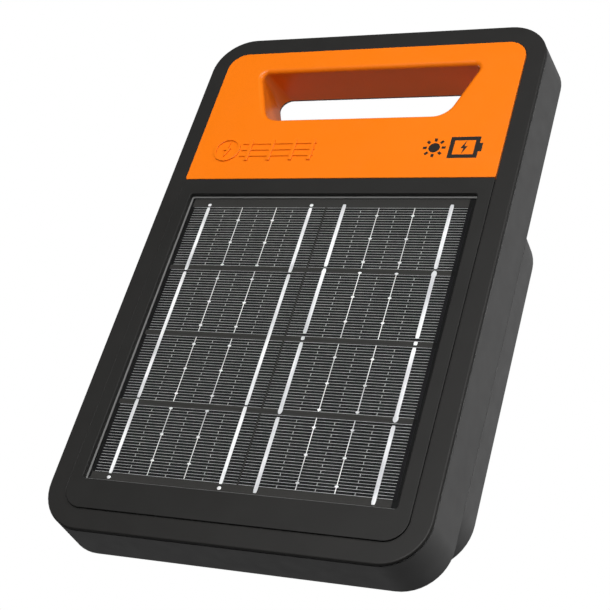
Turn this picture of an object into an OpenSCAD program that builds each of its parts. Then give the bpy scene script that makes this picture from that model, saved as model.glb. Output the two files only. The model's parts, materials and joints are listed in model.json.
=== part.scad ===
// Solar fence energizer: a tray-shaped case with a solar window, a carry handle cut through the top,
// and a battery and electronics housing behind. X runs to the right seen from the front, Y to the
// rear and Z up. The origin is under the middle of the case, on the surface it stands on.
// The modules count Y from the front face of the panel plates; placed() moves them to the origin.

/* [Case] */
// Width of the front rim
rim_w = 180; // [160:0.5:200]
// Height of the front rim
rim_h = 284.3; // [282:0.1:286]
// Corner radius of the front rim
rim_r = 20.6; // [16:0.1:24]
// How much wider the case gets from the front rim to its rear face, on each side
flare = 1.7; // [0.5:0.1:2.5]
// Depth of the tray, from the plate face to its rear face
tray_depth = 26.7; // [25:0.1:28]
// Depth of the whole case with the rear cover
total_depth = 44.1; // [43:0.1:46]
// Wall thickness of the tray
tray_wall = 2.4; // [2:0.1:3]
// Wall thickness of the rear cover
cover_wall = 2.6; // [2:0.1:3]

/* [Front plates] */
// Half width of the two front plates
plate_half = 80.35; // [76:0.05:82]
// Height of the lower edge of the plates
plate_bottom = 9.86; // [9:0.01:11]
// Height of the upper edge of the plates
plate_top = 273.4; // [272:0.1:274]
// Height of the joint between the solar bezel and the handle panel
plate_split = 190.3; // [188:0.1:192]
// Corner radius of the plates
plate_r = 10; // [8:0.5:12]
// Thickness of the plates
plate_t = 2.5; // [2:0.1:3]

/* [Solar panel] */
// Half width of the window
window_half = 74.1; // [72:0.1:75]
// Height of the lower edge of the window
window_bottom = 23.8; // [22:0.1:26]
// Height of the upper edge of the window
window_top = 181.2; // [180:0.1:183]
// Depth of the cells below the plate face
cell_depth = 3; // [2.8:0.1:3.2]
// Number of cell rows
cell_rows = 4; // [2:1:5]
// Distance from one cell row to the next
cell_pitch = 37.2; // [30:0.1:37.5]
// Height of a cell
cell_h = 34.6; // [28:0.1:35]
// Height of the lowest cell's lower edge
cell_start = 28.9; // [28:0.1:30]

/* [Carry handle] */
// Height of the opening's lower edge, at the front
hand_bottom = 228.6; // [227:0.1:230]
// Height of the opening's upper edge, at the front
hand_top = 260.3; // [259:0.1:261]
// Half width of the opening along its lower edge
hand_half = 47.8; // [46:0.1:50]
// How far each side leans outward for each millimetre of height
hand_lean = 0.376; // [0.3:0.01:0.4]
// How much larger the opening is at the rear
hand_flare = 3.0; // [1:0.1:3.2]
// How far each side comes back inward on its way to the rear
hand_narrow = 3.6; // [0:0.1:4]
// Wall thickness of the sleeve through the case
sleeve_wall = 2.2; // [1.6:0.1:2.4]

/* [Rear cover] */
// Half width of the rear cover
cover_half = 91.8; // [91:0.1:92]
// Height of the rear cover's lower face
cover_bottom = 16.3; // [15:0.1:18]
// Height of the rear cover's upper face
cover_top = 193; // [192:0.5:194]
// Corner radius of the rear cover
cover_r = 23; // [20:0.5:24]
// Half width of the post channel down the rear face
channel_half = 20; // [16:0.5:21]
// Depth of the post channel
channel_depth = 6; // [3:0.5:6]
// Distance from side to side between the bracket inserts
insert_span_x = 60; // [58:0.5:62]
// Distance up and down between the bracket inserts
insert_span_z = 100; // [98:0.5:102]

/* [Terminals] */
// Distance from the middle of the case to each terminal
terminal_x = 52; // [51:0.5:53]
// Height of the terminals
terminal_z = 36; // [35.5:0.5:37]
// Radius of the arched bay around each terminal
bay_r = 18; // [17:0.5:18]
// Radius of the threaded stud
stud_r = 3; // [2.5:0.5:3]
// Radius of the knob
knob_r = 10; // [9:0.5:11]
// Number of finger grooves round the knob
knob_grooves = 10; // [6:1:12]

/* [Power button] */
// Height of the power button
button_z = 130; // [126:1:134]
// Height of the status lens
lens_z = 147; // [145:1:149]
// Radius of the power button
button_r = 5.5; // [4.5:0.5:5.5]
// Distance of the button and lens from the plate face
side_y = 34.2; // [34.2:0.05:34.3]

/* [Hidden] */
$fn = 64;
over = 1;                               // how far a cutting shape runs past a face
fit = 0.05;                             // radial clearance of a running fit
gap = 0.3;                              // gap between parts that don't touch

// Depths, from the plate face
rim_y = 0.8;                            // front face of the rim
rim_back = 2.0;                         // rear face of the rim's lip
tray_y = 2.9;                           // front edge of the tray, behind the shadow gap
ledge_y = 8;                            // tray ledge that carries the front frame
frame_back = 7.2;                       // rear face of the front frame's spigot
glass_y = 2.4;
ribbon_t = 0.1;
cell_t = 0.2;
glass_t = cell_depth - ribbon_t - glass_y;
board_y = cell_depth + cell_t;          // front face of the panel's back board
board_t = 2;
tape_y = board_y + board_t;
tape_t = 0.6;
floor_y = tape_y + tape_t;              // ledge in the bezel that the panel is taped to
floor_t = 1.5;
wall_y = tray_depth - tray_wall;        // inner face of the tray's rear wall
sleeve_end = tray_depth - 1.2;          // the sleeve ends in a rebate in the tray's rear wall
cover_in = total_depth - cover_wall;    // inner face of the cover's rear wall
channel_in = total_depth - channel_depth - cover_wall;

// Outlines, as [half width, bottom, top, corner radius]
rim = [rim_w / 2, 0, rim_h, rim_r];
tray_back = [rim_w / 2 + flare, 0, rim_h + flare, rim_r + 0.2];
spigot = inset(rim, 2.7);
recess = [plate_half + 0.5, plate_bottom - 0.5, plate_top + 0.5, plate_r + 0.5];
frame_ledge = [77, 13.2, 270, 7];
plate = [plate_half, plate_bottom, plate_top, plate_r];
window = [window_half, window_bottom, window_top, 1.5];
shroud = inset(window, -2.4);
laminate = inset(window, 0.6);
window_floor = [66, 32, 173, 6];
cover = [cover_half, cover_bottom, cover_top, cover_r];
tray_opening = [79.5, 26.5, 183, 12];
seal_groove = inset(cover, 1.1);

// Screws, as [x, z]
case_screw_at = [for (x = [-76, 76], z = [12.6, 271.7]) [x, z]];
case_boss_r = 3.6;
panel_screw_at = [[-72, 206], [72, 206], [-70.5, 252], [70.5, 252]];
cover_screw_at = [for (x = [-84.2, 84.2], z = [42, 100, 171]) [x, z]];
board_screw_at = [for (x = [-71, -9], z = [65, 155]) [x, z]];
screw_r = 1.5;
small_screw_r = 1.25;
screw_hole_r = 1.7;                     // clearance hole for a rear screw
head_r = 3;
head_t = 2.2;
screw_seat = 32;                        // where the heads of the cover screws sit

// Fittings in the rear cover
insert_low = 70;                        // height of the two lower bracket inserts
insert_at = [for (x = [-0.5, 0.5], z = [0, 1])
    [x * insert_span_x, insert_low + z * insert_span_z]];
insert_r = 3.5;
insert_bore = 2.1;
insert_depth = 8;
vent_y = 31.2;
vent_r = 2.8;
flange_r = button_r + 1.5;              // flange behind the power button, and the dish round it
lens_r = 2.5;

// Electronics
pcb = [-76, -4, 60, 160];               // left, right, bottom and top of the main board
pcb_y = 31.2;
pcb_t = 1.6;
pcb_back = pcb_y + pcb_t;
core_at = [-26, 92];
cell_at = [37, 63.5];                   // x of the two battery cells
cell_y = 22;
cell_r = 13;
cell_z = [86, 151];
cradle_y = 28;
plug_y = 25;                            // front face of the board's connectors

// Terminals
bay_y = 30;                             // rear face of the wall that carries a stud
bay_wall = 2.5;
stud_end = 41;
lug_t = 1;
washer_y = bay_y + gap;
washer_t = 1;
hub_r = 5;
hub_t = 2;
knob_y = washer_y + washer_t + gap;
knob_end = 43.4;
plunger_r = 1.2;                        // the power switch's plunger, and the status lamp's dome

// Routes of the inner leads: points chosen by hand, in millimetres from the plate face
panel_route = [[-30, 5.2, 168], [-30, 8, 168], [-32, 13, 166], [-37, 17, 160], [-42, 19, 154],
    [-42.5, 22, 152], [-42.5, 25, 152]];
battery_route_a = [[37, 22, 152], [37, 22, 156], [30, 21, 162], [8, 19, 160], [-6, 18, 150],
    [-11, 19, 143], [-11, 22, 142], [-11, 25, 142]];
battery_route_b = [[63.5, 22, 152], [63.5, 22, 158], [50, 20, 168], [22, 16, 169], [0, 14, 162],
    [-12, 15, 150], [-15, 18, 143], [-15, 22, 142], [-15, 25, 142]];
fence_route = [[-20, 24, 66], [-20, 20, 66], [-12, 16, 63], [10, 15, 58], [34, 16, 58],
    [48, 20, 60], [52, 25, 58], [52, 25.8, 54], [52, 25.8, 49]];
earth_route = [[-50, 24, 66], [-50, 20, 66], [-50.5, 17, 63], [-51.5, 19, 59], [-52, 24, 57],
    [-52, 25.8, 53], [-52, 25.8, 49]];

function inset(o, d) = [o[0] - d, o[1] + d, o[2] - d, max(o[3] - d, 0.5)];
function unit(v) = v / norm(v);
// A point on the smooth curve through b and c, with a and d on either side
function curve_point(a, b, c, d, t) =
    0.5 * (2 * b + (c - a) * t + (2 * a - 5 * b + 4 * c - d) * t * t
    + (3 * b - a - 3 * c + d) * t * t * t);
function smooth(p, steps) = let (last = len(p) - 1) [
    for (i = [0:last - 1], k = [0:steps - 1])
        curve_point(p[max(i - 1, 0)], p[i], p[i + 1], p[min(i + 2, last)], k / steps),
    p[last]];
// Directions along a smoothed route; its two ends point along the route's own end stretches
function headings(route, path) = let (n = len(path), m = len(route)) [for (i = [0:n - 1])
    i == 0 ? unit(route[1] - route[0]) :
    i == n - 1 ? unit(route[m - 1] - route[m - 2]) : unit(path[i + 1] - path[i - 1])];
// Side vectors carried along the path without twisting
function sides_along(dirs, i = 0, v = [1, 0, 0.1], out = []) =
    i == len(dirs) ? out :
    let (t = dirs[i], s = unit(v - (v * t) * t)) sides_along(dirs, i + 1, s, concat(out, [s]));

module placed() translate([0, -total_depth / 2, 0]) children();

// A shape drawn in X and Z, from depth y0 to depth y1
module slab(y0, y1) translate([0, y1, 0]) rotate([90, 0, 0]) linear_extrude(y1 - y0) children();

// A round bar along Y at [x, z]
module bar(at, y0, y1, r) translate([at[0], y1, at[1]]) rotate([90, 0, 0])
    cylinder(h = y1 - y0, r = r);

// A round bar along X at depth side_y
module side_bar(x0, x1, z, r) translate([x0, side_y, z]) rotate([0, 90, 0])
    cylinder(h = x1 - x0, r = r);

module rounded(o) {
    translate([-o[0] + o[3], o[1]]) square([2 * (o[0] - o[3]), o[2] - o[1]]);
    translate([-o[0], o[1] + o[3]]) square([2 * o[0], o[2] - o[1] - 2 * o[3]]);
    for (x = [-1, 1], z = [o[1] + o[3], o[2] - o[3]])
        translate([x * (o[0] - o[3]), z]) circle(o[3]);
}

module block(x0, x1, y0, y1, z0, z1) translate([x0, y0, z0]) cube([x1 - x0, y1 - y0, z1 - z0]);

// The four rounded corners of the hand opening, grown by d on every side and then narrowed
module hand_corners(d, narrow = 0, $fn = 48) {
    half = hand_half - narrow;
    side = sqrt(1 + hand_lean * hand_lean);
    low_r = 10 + d;
    high_r = 3 + d;
    half_low = half + d * (side - hand_lean);
    half_high = half + (hand_top - hand_bottom) * hand_lean + d * (side + hand_lean);
    for (m = [-1, 1]) {
        translate([m * (half_low - (side - hand_lean) * low_r), hand_bottom - d + low_r])
            circle(low_r);
        translate([m * (half_high - (side + hand_lean) * high_r), hand_top + d - high_r])
            circle(high_r);
    }
}

// The tapered space through the case, grown by d, up to depth y1
module hand_space(d, y1) intersection() {
    hull() for (y = [-2 * over, tray_depth + 2 * over])
        slab(y, y + 0.1) hand_corners(d + hand_flare * y / tray_depth, hand_narrow * y / tray_depth);
    slab(-over, y1) square(2 * rim_h, center = true);
}

module screw_head(at, y, r, t) difference() {
    bar(at, y, y + t, r);
    for (turn = [0, 90])
        translate([at[0], y + t, at[1]]) rotate([0, turn, 0]) cube([r * 1.2, t, 0.7], center = true);
}

// A screw driven from the rear: its head's underside is at depth seat
module rear_screw(at, seat, length) {
    screw_head(at, seat, head_r, head_t);
    bar(at, seat - length, seat, screw_r);
}

module tube(route, r, sides = 8) {
    path = smooth(route, 4);
    dirs = headings(route, path);
    across = sides_along(dirs);
    rings = len(path);
    points = [for (i = [0:rings - 1], k = [0:sides - 1])
        let (u = across[i], v = cross(dirs[i], u), a = 360 * k / sides)
        path[i] + r * (cos(a) * u + sin(a) * v)];
    walls = [for (i = [0:rings - 2], k = [0:sides - 1])
        let (n = (k + 1) % sides) [i * sides + k, (i + 1) * sides + k, (i + 1) * sides + n,
            i * sides + n]];
    front_cap = [for (k = [0:sides - 1]) k];
    end_cap = [for (k = [0:sides - 1]) rings * sides - 1 - k];
    polyhedron(points, concat([front_cap], walls, [end_cap]), convexity = 8);
}

// ---- Front ----

module front_frame() placed() color("#353433") difference() {
    union() {
        slab(rim_y, rim_back) rounded(rim);
        slab(rim_back, frame_back) rounded(spigot);
        for (at = case_screw_at) bar(at, rim_back, wall_y, case_boss_r);
    }
    slab(-over, plate_t) rounded(recess);
    slab(-over, frame_back) rounded(frame_ledge);
    difference() {
        slab(plate_t + 2, frame_back + over) rounded(inset(spigot, 2.7));
        for (at = case_screw_at) bar(at, rim_back, wall_y, case_boss_r);
    }
    for (at = case_screw_at) bar(at, tray_depth - 18, wall_y + over, screw_r);
}

module handle_panel() placed() color("#ff8020") difference() {
    union() {
        slab(0, plate_t) intersection() {
            rounded(plate);
            translate([-rim_w, plate_split + 0.1]) square(2 * rim_w);
        }
        intersection() {
            hand_space(sleeve_wall, sleeve_end);
            slab(0, tray_depth) square(2 * rim_h, center = true);
        }
        for (at = panel_screw_at) bar(at, plate_t, wall_y, 3.6);
    }
    hand_space(0, tray_depth + over);
    for (at = panel_screw_at) bar(at, tray_depth - 16, wall_y + over, screw_r);
}

module solar_bezel() placed() color("#32302f") difference() {
    union() {
        slab(0, plate_t) intersection() {
            rounded(plate);
            translate([-rim_w, plate_split - 0.2 - 2 * rim_w]) square(2 * rim_w);
        }
        slab(plate_t, floor_y + floor_t) rounded(shroud);
    }
    slab(-over, floor_y) rounded(window);
    slab(floor_y - over, floor_y + floor_t + over) rounded(window_floor);
}

module panel_glass() placed() color("#20242a", 0.35)
    slab(glass_y, glass_y + glass_t) rounded(laminate);

module solar_cells() placed() color("#101014")
    for (row = [0:cell_rows - 1], x = [-71.5, 0.4])
        block(x, x + 71.1, cell_depth, cell_depth + cell_t, cell_start + row * cell_pitch,
            cell_start + row * cell_pitch + cell_h);

module cell_ribbons() placed() color("#e8e8e6")
    for (x = [-63, -8, 9, 62.2])
        block(x - 0.9, x + 0.9, cell_depth - ribbon_t, cell_depth, cell_start - 2,
            cell_start + cell_rows * cell_pitch - 1);

module panel_backboard() placed() color("#161616")
    slab(board_y, board_y + board_t) rounded(laminate);

module panel_tape() placed() color("#0c0c0c") slab(tape_y, tape_y + tape_t) difference() {
    rounded(laminate);
    rounded(window_floor);
}

// ---- Case ----

module tray_body() difference() {
    hull() {
        slab(tray_y, tray_y + 0.1) rounded(rim);
        slab(tray_depth - 0.1, tray_depth) rounded(tray_back);
    }
    hull() {
        slab(tray_y - 0.1, tray_y) rounded(inset(rim, tray_wall));
        slab(wall_y - 0.1, wall_y) rounded(inset(tray_back, tray_wall));
    }
}

module tray_shell() placed() color("#4a4a49") difference() {
    union() {
        tray_body();
        slab(ledge_y, ledge_y + 2) difference() {
            rounded(inset(rim, tray_wall - 0.6));
            rounded(inset(rim, 6));
        }
        for (at = cover_screw_at) bar(at, wall_y - 12, wall_y + 0.5, 3.6);
    }
    slab(wall_y - over, tray_depth + over) rounded(tray_opening);
    hand_space(sleeve_wall, sleeve_end);
    hand_space(0, tray_depth + over);
    slab(tray_depth - 1, tray_depth + over) difference() {
        rounded(seal_groove);
        rounded(inset(seal_groove, 1.2));
    }
    for (at = concat(case_screw_at, panel_screw_at))
        bar(at, wall_y - over, tray_depth + over, screw_hole_r);
    for (at = cover_screw_at) bar(at, wall_y - 12 - over, tray_depth + over, screw_r);
}

module front_seal() placed() color("#1a1a1a") slab(frame_back, ledge_y) difference() {
    rounded(spigot);
    rounded(inset(spigot, 2.7));
}

module bay_outline(r) {
    circle(r);
    translate([-r, -terminal_z]) square([2 * r, terminal_z]);
}

module at_terminals() for (m = [-1, 1]) translate([m * terminal_x, 0, terminal_z]) children();

module cover_body() difference() {
    slab(tray_depth, total_depth) rounded(cover);
    slab(tray_depth - over, cover_in) rounded(inset(cover, cover_wall));
}

module cover_bosses() {
    for (at = cover_screw_at) {
        bar(at, tray_depth, cover_in + over, 5);
        block(min(at[0], sign(at[0]) * 90), max(at[0], sign(at[0]) * 90), tray_depth, cover_in,
            at[1] - 3, at[1] + 3);
    }
    for (at = insert_at) bar(at, 34.5, total_depth - over, insert_r + 2);
    for (at = board_screw_at)
        bar(at, pcb_back, at[0] < -channel_half ? cover_in + over : channel_in + over, 3);
    block(-channel_half - cover_wall, channel_half + cover_wall, channel_in, total_depth - over,
        cover_bottom + over, cover_top - over);
}

module rear_cover() placed() color("#4f4f4e") difference() {
    union() {
        cover_body();
        intersection() {
            union() {
                cover_bosses();
                at_terminals() slab(bay_y - bay_wall, total_depth) bay_outline(bay_r + 2.5);
            }
            slab(tray_depth, total_depth) rounded(cover);
        }
    }
    at_terminals() {
        slab(bay_y, total_depth + over) bay_outline(bay_r);
        bar([0, 0], bay_y - bay_wall - over, bay_y + over, stud_r);
    }
    block(-channel_half, channel_half, total_depth - channel_depth, total_depth + over,
        cover_bottom - over, cover_top + over);
    for (at = cover_screw_at) {
        bar(at, tray_depth - over, screw_seat + over, screw_hole_r);
        bar(at, screw_seat, total_depth + over, head_r + 0.4);
    }
    for (at = insert_at) bar(at, total_depth - insert_depth, total_depth + over, insert_r);
    for (at = board_screw_at) bar(at, pcb_back - over, pcb_back + 3.7, small_screw_r);
    side_bar(-cover_half - over, -cover_half + 0.8, button_z, flange_r);
    side_bar(-cover_half - over, -80, button_z, button_r + fit);
    side_bar(-cover_half - over, -80, lens_z, lens_r);
    translate([0, vent_y, cover_bottom - over]) cylinder(h = cover_wall + 2 * over, r = vent_r);
}

module case_seal() placed() color("#1a1a1a") slab(tray_depth - 1, tray_depth) difference() {
    rounded(seal_groove);
    rounded(inset(seal_groove, 1.2));
}

module breather_vent() placed() color("#222222") translate([0, vent_y, cover_bottom - 1.2]) {
    cylinder(h = 1.2, r = vent_r + 1);
    cylinder(h = cover_wall + 2.2, r = vent_r);
}

module bracket_inserts() placed() color("#b08d3c") for (at = insert_at) difference() {
    bar(at, total_depth - insert_depth, total_depth, insert_r);
    bar(at, total_depth - insert_depth - over, total_depth + over, insert_bore);
}

// ---- Electronics ----

module main_board() placed() color("#1f5a34") difference() {
    block(pcb[0], pcb[1], pcb_y, pcb_back, pcb[2], pcb[3]);
    for (at = board_screw_at) bar(at, pcb_y - over, pcb_back + over, small_screw_r + 0.1);
}

module transformer_core() placed() color("#3c3c3e") translate([core_at[0], 0, core_at[1]])
    difference() {
        block(-19, 19, 13.2, 27.2, -16, 16);
        for (m = [-1, 1]) translate([m * 9, 0, 0]) block(-4, 4, 12, 28.5, -9, 9);
    }

module transformer_winding() placed() color("#b5651d") translate([core_at[0], 0, core_at[1]])
    difference() {
        union() {
            block(-11.5, 11.5, 10.4, 30, -8.8, 8.8);
            for (z = [-8.8, 7.6]) block(-12.8, 12.8, 9.2, pcb_y, z, z + 1.2);
        }
        block(-5, 5, 13.2, 27.2, -10, 10);
    }

module storage_capacitors() placed() color("#2a4a9c") for (z = [86, 108]) {
    block(-72, -48, 13, pcb_y, z, z + 18);
    block(-71, -49, 12, 13, z + 1, z + 17);
}

module charge_inductor() placed() color("#7a4a20") translate([-58, 22, 142]) rotate([-90, 0, 0])
    rotate_extrude() translate([6, pcb_y - 22 - 4.2]) circle(4, $fn = 24);

module discharge_thyristor() placed() color("#26282a") {
    block(-34, -24, 21, pcb_y, 122, 126.5);
    difference() {
        block(-34, -24, 13, 21, 125.2, 126.5);
        translate([-29, 17, 124]) cylinder(h = 4, r = 1.9);
    }
}

module board_chips() placed() color("#1c1c1e") {
    block(-46, -37, 29.6, pcb_y, 134, 143);
    block(-32, -26, 29.9, pcb_y, 136, 141);
    block(-20, -14, 28.9, pcb_y, 116, 126);
    for (z = [71, 76, 81]) block(-64, -60, 30, pcb_y, z, z + 3);
    block(-62, -54, pcb_back, pcb_back + 1.4, 100, 112);
}

module board_connectors() placed() color("#e8e4d8") {
    block(-49, -39, plug_y, pcb_y, 148.5, 155.5);
    block(-19, -7, plug_y, pcb_y, 138.5, 145.5);
    block(-24, -16, 24, pcb_y, 62, 70);
    block(-54, -46, 24, pcb_y, 62, 70);
}

module battery_cells() placed() color("#2f6fb0") for (x = cell_at)
    translate([x, cell_y, cell_z[0]]) cylinder(h = cell_z[1] - cell_z[0], r = cell_r);

module cell_links() placed() color("#c9c9c4") {
    block(cell_at[0] - 4, cell_at[1] + 4, cell_y - 4, cell_y + 4, cell_z[0] - 0.3, cell_z[0]);
    for (x = cell_at)
        block(x - 4, x + 4, cell_y - 4, cell_y + 4, cell_z[1], cell_z[1] + 1);
}

module battery_cradle() placed() color("#d8d6cf") difference() {
    block(23, 78, cradle_y, cover_in, cell_z[0] - 4, cell_z[1] + 4);
    for (x = cell_at) translate([x, cell_y, cell_z[0] - 0.4])
        cylinder(h = cell_z[1] - cell_z[0] + 1.8, r = cell_r + 0.2);
    block(cell_at[0], cell_at[1], cradle_y - over, cradle_y + 4, cell_z[0], cell_z[1]);
    block(26, 75, cell_y + cell_r + 2.4, cover_in + over, cell_z[0], cell_z[1]);
}

module strap_outline(r) {
    for (x = cell_at) translate([x, cell_y]) circle(r);
    translate([cell_at[0], cell_y - r]) square([cell_at[1] - cell_at[0], r]);
}

module battery_strap() placed() color("#222222") translate([0, 0, 112]) linear_extrude(14)
    difference() {
        intersection() {
            strap_outline(cell_r + 1.3);
            square([100, cradle_y]);
        }
        strap_outline(cell_r);
    }

module panel_leads() placed() color("#a02020") {
    tube(panel_route, 1);
    tube([for (p = panel_route) p + [-3.5, 0, 0]], 1);
}

module battery_leads() placed() color("#303030") {
    tube(battery_route_a, 1.1);
    tube(battery_route_b, 1.1);
}

module fence_lead() placed() color("#c03028") tube(fence_route, 1.6);

module earth_lead() placed() color("#2f8a3c") tube(earth_route, 1.6);

// ---- Terminals: m is 1 for the fence side and -1 for the earth side ----

module stud(m) placed() translate([m * terminal_x, 0, terminal_z]) {
    translate([0, bay_y - bay_wall - lug_t, 0]) rotate([90, 0, 0])
        cylinder(h = 4, r = 5.8, $fn = 6);
    bar([0, 0], bay_y - bay_wall - lug_t - 1, stud_end, stud_r);
}

module lug(m) placed() translate([m * terminal_x, 0, terminal_z]) difference() {
    union() {
        bar([0, 0], bay_y - bay_wall - lug_t, bay_y - bay_wall, 6.5);
        block(-2, 2, bay_y - bay_wall - lug_t, bay_y - bay_wall, 0, 13);
        block(-2.3, 2.3, 24.2, bay_y - bay_wall, 8, 13);
    }
    bar([0, 0], 20, 30, stud_r + 0.1);
}

module washer(m) placed() translate([m * terminal_x, 0, terminal_z]) difference() {
    union() {
        bar([0, 0], washer_y, washer_y + washer_t, 8);
        bar([0, 0], washer_y + washer_t - 0.1, washer_y + washer_t + hub_t, hub_r);
    }
    bar([0, 0], washer_y - over, washer_y + washer_t + hub_t + over, stud_r + fit);
}

module knob(m) placed() translate([m * terminal_x, 0, terminal_z]) difference() {
    union() {
        bar([0, 0], knob_y, knob_end - 1, knob_r);
        bar([0, 0], knob_end - 1.1, knob_end, knob_r - 1);
    }
    for (k = [0:knob_grooves - 1]) rotate([0, 360 * k / knob_grooves, 0])
        bar([knob_r + 1.1, 0], knob_y + 1.5, knob_end + over, 2, $fn = 32);
    bar([0, 0], knob_y - over, knob_y + hub_t + gap, hub_r + fit);
    bar([0, 0], knob_y, knob_end - 1.6, stud_r + fit);
    bar([0, 0], knob_end - 0.6, knob_end + over, 5);
}

module fence_stud() color("#b9b9b5") stud(1);
module earth_stud() color("#b9b9b5") stud(-1);
module fence_lug() color("#c8b070") lug(1);
module earth_lug() color("#c8b070") lug(-1);
module fence_washer() color("#b9b9b5") washer(1);
module earth_washer() color("#b9b9b5") washer(-1);
module fence_knob() color("#c8251d") knob(1);
module earth_knob() color("#1f8a3c") knob(-1);

// ---- Power button and status light, on the left side ----

module power_button() placed() color("#e06a12") {
    side_bar(-91.4, -88.8, button_z, button_r);
    side_bar(-88.9, -87.6, button_z, flange_r);
    side_bar(-87.7, -78.2, button_z, 2.5);
}

module switch_plunger() placed() color("#8a1c1c") side_bar(-78.2, -74.8, button_z, plunger_r);

module button_switch() placed() color("#1b1b1d") difference() {
    block(-75.6, -69, pcb_back, side_y + 3.2, button_z - 3.5, button_z + 3.5);
    side_bar(-76.6, -73.2, button_z, plunger_r + fit);
}

module status_led() placed() color("#d8f0d8") {
    block(-75.6, -72, pcb_back, side_y + 2.5, lens_z - 2.2, lens_z + 2.2);
    side_bar(-77.4, -75.5, lens_z, plunger_r);
}

module status_lens() placed() color("#d0e8d0", 0.6) {
    side_bar(-91.6, -79, lens_z, lens_r);
    side_bar(-89.2, -88, lens_z, lens_r + 0.9);
}

// ---- Screws ----

module cover_screws() placed() color("#8d8d8a")
    for (at = cover_screw_at) rear_screw(at, screw_seat, 18);
module case_screws() placed() color("#8d8d8a")
    for (at = case_screw_at) rear_screw(at, tray_depth, 18);
module panel_screws() placed() color("#8d8d8a")
    for (at = panel_screw_at) rear_screw(at, tray_depth, 16);
module board_screws() placed() color("#8d8d8a") for (at = board_screw_at) {
    bar(at, pcb_y - 1.8, pcb_y, 2.6);
    bar(at, pcb_y - 0.1, pcb_back + 3.7, small_screw_r);
}

front_frame();
handle_panel();
solar_bezel();
panel_glass();
solar_cells();
cell_ribbons();
panel_backboard();
panel_tape();
tray_shell();
front_seal();
rear_cover();
case_seal();
breather_vent();
bracket_inserts();
main_board();
transformer_core();
transformer_winding();
storage_capacitors();
charge_inductor();
discharge_thyristor();
board_chips();
board_connectors();
battery_cells();
cell_links();
battery_cradle();
battery_strap();
panel_leads();
battery_leads();
fence_lead();
earth_lead();
fence_stud();
fence_lug();
fence_washer();
fence_knob();
earth_stud();
earth_lug();
earth_washer();
earth_knob();
power_button();
switch_plunger();
button_switch();
status_led();
status_lens();
cover_screws();
case_screws();
panel_screws();
board_screws();
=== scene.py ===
"""Looks of the solar fence energizer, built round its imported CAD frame.

The shapes below are in millimetres, with X to the right, Y rearward from the front face of the
panel plates, and Z up. The lamps and the camera are in Blender's metres.
"""

import json
import math

import bmesh
import bpy
from mathutils import Matrix, Vector, noise
from mathutils.geometry import tessellate_polygon


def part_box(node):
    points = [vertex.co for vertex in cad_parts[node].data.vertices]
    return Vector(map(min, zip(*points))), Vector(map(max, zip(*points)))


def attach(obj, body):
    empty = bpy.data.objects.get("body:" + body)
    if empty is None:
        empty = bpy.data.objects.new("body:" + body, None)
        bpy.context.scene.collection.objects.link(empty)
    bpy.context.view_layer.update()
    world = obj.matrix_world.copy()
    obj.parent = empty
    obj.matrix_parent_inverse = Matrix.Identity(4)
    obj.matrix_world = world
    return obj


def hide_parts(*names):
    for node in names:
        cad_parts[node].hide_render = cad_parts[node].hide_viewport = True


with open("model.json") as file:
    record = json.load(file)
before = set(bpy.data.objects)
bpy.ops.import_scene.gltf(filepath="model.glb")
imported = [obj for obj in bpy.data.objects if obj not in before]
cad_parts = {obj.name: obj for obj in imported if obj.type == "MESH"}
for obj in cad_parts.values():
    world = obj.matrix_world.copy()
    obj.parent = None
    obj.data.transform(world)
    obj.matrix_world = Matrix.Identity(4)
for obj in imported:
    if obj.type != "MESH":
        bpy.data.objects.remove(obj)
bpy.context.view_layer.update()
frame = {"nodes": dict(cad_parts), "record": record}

MM = 0.001
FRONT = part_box("handle_panel")[0].y     # the plates' front face
slot_of = {part["node"]: part["material_slot"] for part in frame["record"]["subparts"]}

# Depths, as in the CAD source
RIM_Y, RIM_BACK, TRAY_Y, LEDGE_Y, FRAME_BACK = 0.8, 2.0, 2.9, 8.0, 7.2
PLATE_T, FLOOR_Y, FLOOR_T = 2.5, 5.8, 1.5
GLASS_Y, RIBBON_Y, CELL_Y = 2.4, 2.9, 3.0
TRAY_BACK, WALL_Y, SLEEVE_END = 26.7, 24.3, 25.5
COVER_BACK, COVER_IN, CHANNEL_IN = 44.1, 41.5, 35.5
CORNER = 12                             # steps round a quarter of a corner

# Outlines: half width, bottom, top, radius of the lower corners, radius of the upper corners
RIM = (90, 0, 284.3, 20.6, 20.6)
TRAY_REAR = (91.7, 0, 286, 20.8, 20.8)
RECESS = (80.85, 9.36, 273.9, 10.5, 10.5)
FRAME_LEDGE = (77, 13.2, 270, 7, 7)
HANDLE_PLATE = (80.35, 190.4, 273.4, 0.8, 10)
BEZEL_PLATE = (80.35, 9.86, 190.1, 10, 0.8)
WINDOW = (74.1, 23.8, 181.2, 1.5, 1.5)
WINDOW_FLOOR = (66, 32, 173, 6, 6)
COVER = (91.8, 16.3, 193, 23, 23)
TRAY_OPENING = (79.5, 26.5, 183, 12, 12)
CASE_SCREWS = [(x, z) for x in (-76, 76) for z in (12.6, 271.7)]
PANEL_SCREWS = [(-72, 206), (72, 206), (-70.5, 252), (70.5, 252)]
COVER_SCREWS = [(x, z) for x in (-84.2, 84.2) for z in (42, 100, 171)]
BOARD_SCREWS = [(x, z) for x in (-71, -9) for z in (65, 155)]
INSERTS = [(x, z) for x in (-30, 30) for z in (70, 170)]
TERMINAL_X, TERMINAL_Z, BAY_R, BAY_Y = 52, 36, 18, 30
SIDE_Y, BUTTON_Z, LENS_Z = 34.2, 130, 147
VENT_Y, VENT_R = 31.2, 2.8

# Walls, and how far a part stands in from the outline it follows
WALL, COVER_WALL, SLEEVE_WALL, SPIGOT_WALL = 2.4, 2.6, 2.2, 2.7
SPIGOT_IN, LEDGE_IN, GROOVE_IN, COVER_GAP = 2.7, 6, 1.1, 0.02
GROOVE_W, GROOVE_DEEP, LEDGE_T = 1.2, 1, 2

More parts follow.
